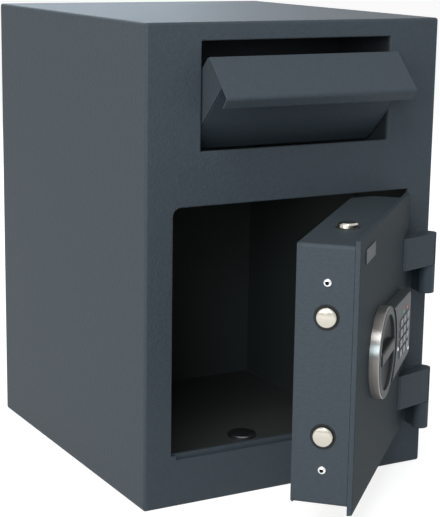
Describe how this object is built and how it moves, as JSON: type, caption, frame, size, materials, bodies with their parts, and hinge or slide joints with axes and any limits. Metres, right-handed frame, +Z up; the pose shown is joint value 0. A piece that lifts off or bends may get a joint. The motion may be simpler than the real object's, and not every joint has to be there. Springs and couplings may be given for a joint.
{
  "type": "deposit safe",
  "caption": "Steel drop safe: tilting deposit drawer with a chute above a hinged door, which has a knob, keypad, side bolts and an upright bolt.",
  "frame": {"origin": "centre of the casing's underside, where it stands on a counter or floor", "axes": "+X to the right as seen from the front, +Y from the front face to the back, +Z up; the door and the drawer are on the -Y side"},
  "size_m": [0.35, 0.5978, 0.5],
  "materials": {
    "powder_coat": "satin dark blue-grey powder coat",
    "dark_paint": "satin near-black paint",
    "steel": "zinc-plated steel",
    "bolt_nickel": "satin nickel plate",
    "chrome": "bright chrome plate",
    "black_plastic": "matt black",
    "grey_plastic": "satin dark grey",
    "key_plastic": "matt charcoal",
    "plate_grey": "satin grey, bare",
    "green_lens": "clear green",
    "red_lens": "clear red",
    "rubber": "matt"
  },
  "bodies": {
    "casing": {"body_shell": "powder_coat", "back_panel": "powder_coat", "sill_bar": "powder_coat", "jamb_keeper": "dark_paint", "header_keeper": "dark_paint", "anchor_plug": "steel", "deposit_housing": "dark_paint", "anti_fishing_baffle": "dark_paint", "drawer_pivot_left": "steel", "drawer_pivot_right": "steel", "drawer_spring": "steel", "drawer_bumper_left": "rubber", "drawer_bumper_right": "rubber", "hinge_knuckle_upper": "powder_coat", "hinge_knuckle_lower": "powder_coat", "hinge_pin_upper": "steel", "hinge_pin_lower": "steel"},
    "deposit_drawer": {"drawer_plate": "powder_coat", "drawer_floor": "powder_coat", "drawer_cheek_left": "powder_coat", "drawer_cheek_right": "powder_coat"},
    "door": {"door_plate": "powder_coat", "door_pan": "powder_coat", "door_back_cover": "powder_coat", "door_hinge_leaf_upper": "powder_coat", "door_hinge_leaf_lower": "powder_coat", "bolt_bush_lower": "black_plastic", "bolt_bush_upper": "black_plastic", "bolt_bush_top": "black_plastic", "edge_screw_lower": "chrome", "edge_screw_upper": "chrome", "bolt_guide_lower": "steel", "bolt_guide_upper": "steel", "lock_case": "grey_plastic", "battery_cover": "black_plastic", "name_plate": "plate_grey", "keypad_housing": "grey_plastic", "lamp_green": "green_lens", "lamp_red": "red_lens", "contact_stud": "chrome"},
    "knob": {"knob_ring": "chrome", "knob_dial": "grey_plastic", "spindle_cam": "steel"},
    "side_bolts": {"side_bolt_lower": "bolt_nickel", "side_bolt_upper": "bolt_nickel", "bolt_carriage": "steel"},
    "upright_bolt": {"top_bolt": "bolt_nickel", "top_bolt_rod": "steel"},
    "button_1": {"key_1": "key_plastic"},
    "button_2": {"key_2": "key_plastic"},
    "button_3": {"key_3": "key_plastic"},
    "button_4": {"key_4": "key_plastic"},
    "button_5": {"key_5": "key_plastic"},
    "button_6": {"key_6": "key_plastic"},
    "button_7": {"key_7": "key_plastic"},
    "button_8": {"key_8": "key_plastic"},
    "button_9": {"key_9": "key_plastic"},
    "button_10": {"key_10": "key_plastic"},
    "button_11": {"key_11": "key_plastic"},
    "button_12": {"key_12": "key_plastic"}
  },
  "joints": [
    {"name": "drawer_tilt", "type": "hinge", "parent": "casing", "child": "deposit_drawer", "pos_m": [0, -0.16, 0.384], "axis": [1, 0, 0], "range_deg": [0, 45], "stiffness_Nm_per_rad": 0.8, "springref_deg": -51.57},
    {"name": "door_hinge", "type": "hinge", "parent": "casing", "child": "door", "pos_m": [0.1593, -0.2127, 0], "axis": [0, 0, 1], "range_deg": [-44.6, 75.4]},
    {"name": "knob_turn", "type": "hinge", "parent": "door", "child": "knob", "pos_m": [0.01231, -0.33139, 0.1844], "axis": [0.7022, -0.712, 0], "range_deg": [0, 60]},
    {"name": "side_bolt_slide", "type": "slide", "parent": "door", "child": "side_bolts", "axis": [-0.712, -0.7022, 0], "range_m": [0, 0.012]},
    {"name": "top_bolt_slide", "type": "slide", "parent": "door", "child": "upright_bolt", "axis": [0, 0, 1], "range_m": [0, 0.012]},
    {"name": "key_1_press", "type": "slide", "parent": "door", "child": "button_1", "axis": [-0.7022, 0.712, 0], "range_m": [0, 0.001], "stiffness_N_per_m": 300, "springref_m": -0.0005},
    {"name": "key_2_press", "type": "slide", "parent": "door", "child": "button_2", "axis": [-0.7022, 0.712, 0], "range_m": [0, 0.001], "stiffness_N_per_m": 300, "springref_m": -0.0005},
    {"name": "key_3_press", "type": "slide", "parent": "door", "child": "button_3", "axis": [-0.7022, 0.712, 0], "range_m": [0, 0.001], "stiffness_N_per_m": 300, "springref_m": -0.0005},
    {"name": "key_4_press", "type": "slide", "parent": "door", "child": "button_4", "axis": [-0.7022, 0.712, 0], "range_m": [0, 0.001], "stiffness_N_per_m": 300, "springref_m": -0.0005},
    {"name": "key_5_press", "type": "slide", "parent": "door", "child": "button_5", "axis": [-0.7022, 0.712, 0], "range_m": [0, 0.001], "stiffness_N_per_m": 300, "springref_m": -0.0005},
    {"name": "key_6_press", "type": "slide", "parent": "door", "child": "button_6", "axis": [-0.7022, 0.712, 0], "range_m": [0, 0.001], "stiffness_N_per_m": 300, "springref_m": -0.0005},
    {"name": "key_7_press", "type": "slide", "parent": "door", "child": "button_7", "axis": [-0.7022, 0.712, 0], "range_m": [0, 0.001], "stiffness_N_per_m": 300, "springref_m": -0.0005},
    {"name": "key_8_press", "type": "slide", "parent": "door", "child": "button_8", "axis": [-0.7022, 0.712, 0], "range_m": [0, 0.001], "stiffness_N_per_m": 300, "springref_m": -0.0005},
    {"name": "key_9_press", "type": "slide", "parent": "door", "child": "button_9", "axis": [-0.7022, 0.712, 0], "range_m": [0, 0.001], "stiffness_N_per_m": 300, "springref_m": -0.0005},
    {"name": "key_10_press", "type": "slide", "parent": "door", "child": "button_10", "axis": [-0.7022, 0.712, 0], "range_m": [0, 0.001], "stiffness_N_per_m": 300, "springref_m": -0.0005},
    {"name": "key_11_press", "type": "slide", "parent": "door", "child": "button_11", "axis": [-0.7022, 0.712, 0], "range_m": [0, 0.001], "stiffness_N_per_m": 300, "springref_m": -0.0005},
    {"name": "key_12_press", "type": "slide", "parent": "door", "child": "button_12", "axis": [-0.7022, 0.712, 0], "range_m": [0, 0.001], "stiffness_N_per_m": 300, "springref_m": -0.0005}
  ],
  "couplings": [
    {"joint": "side_bolt_slide", "follows": "knob_turn", "m_per_rad": 0.011459},
    {"joint": "top_bolt_slide", "follows": "knob_turn", "m_per_rad": 0.011459}
  ]
}
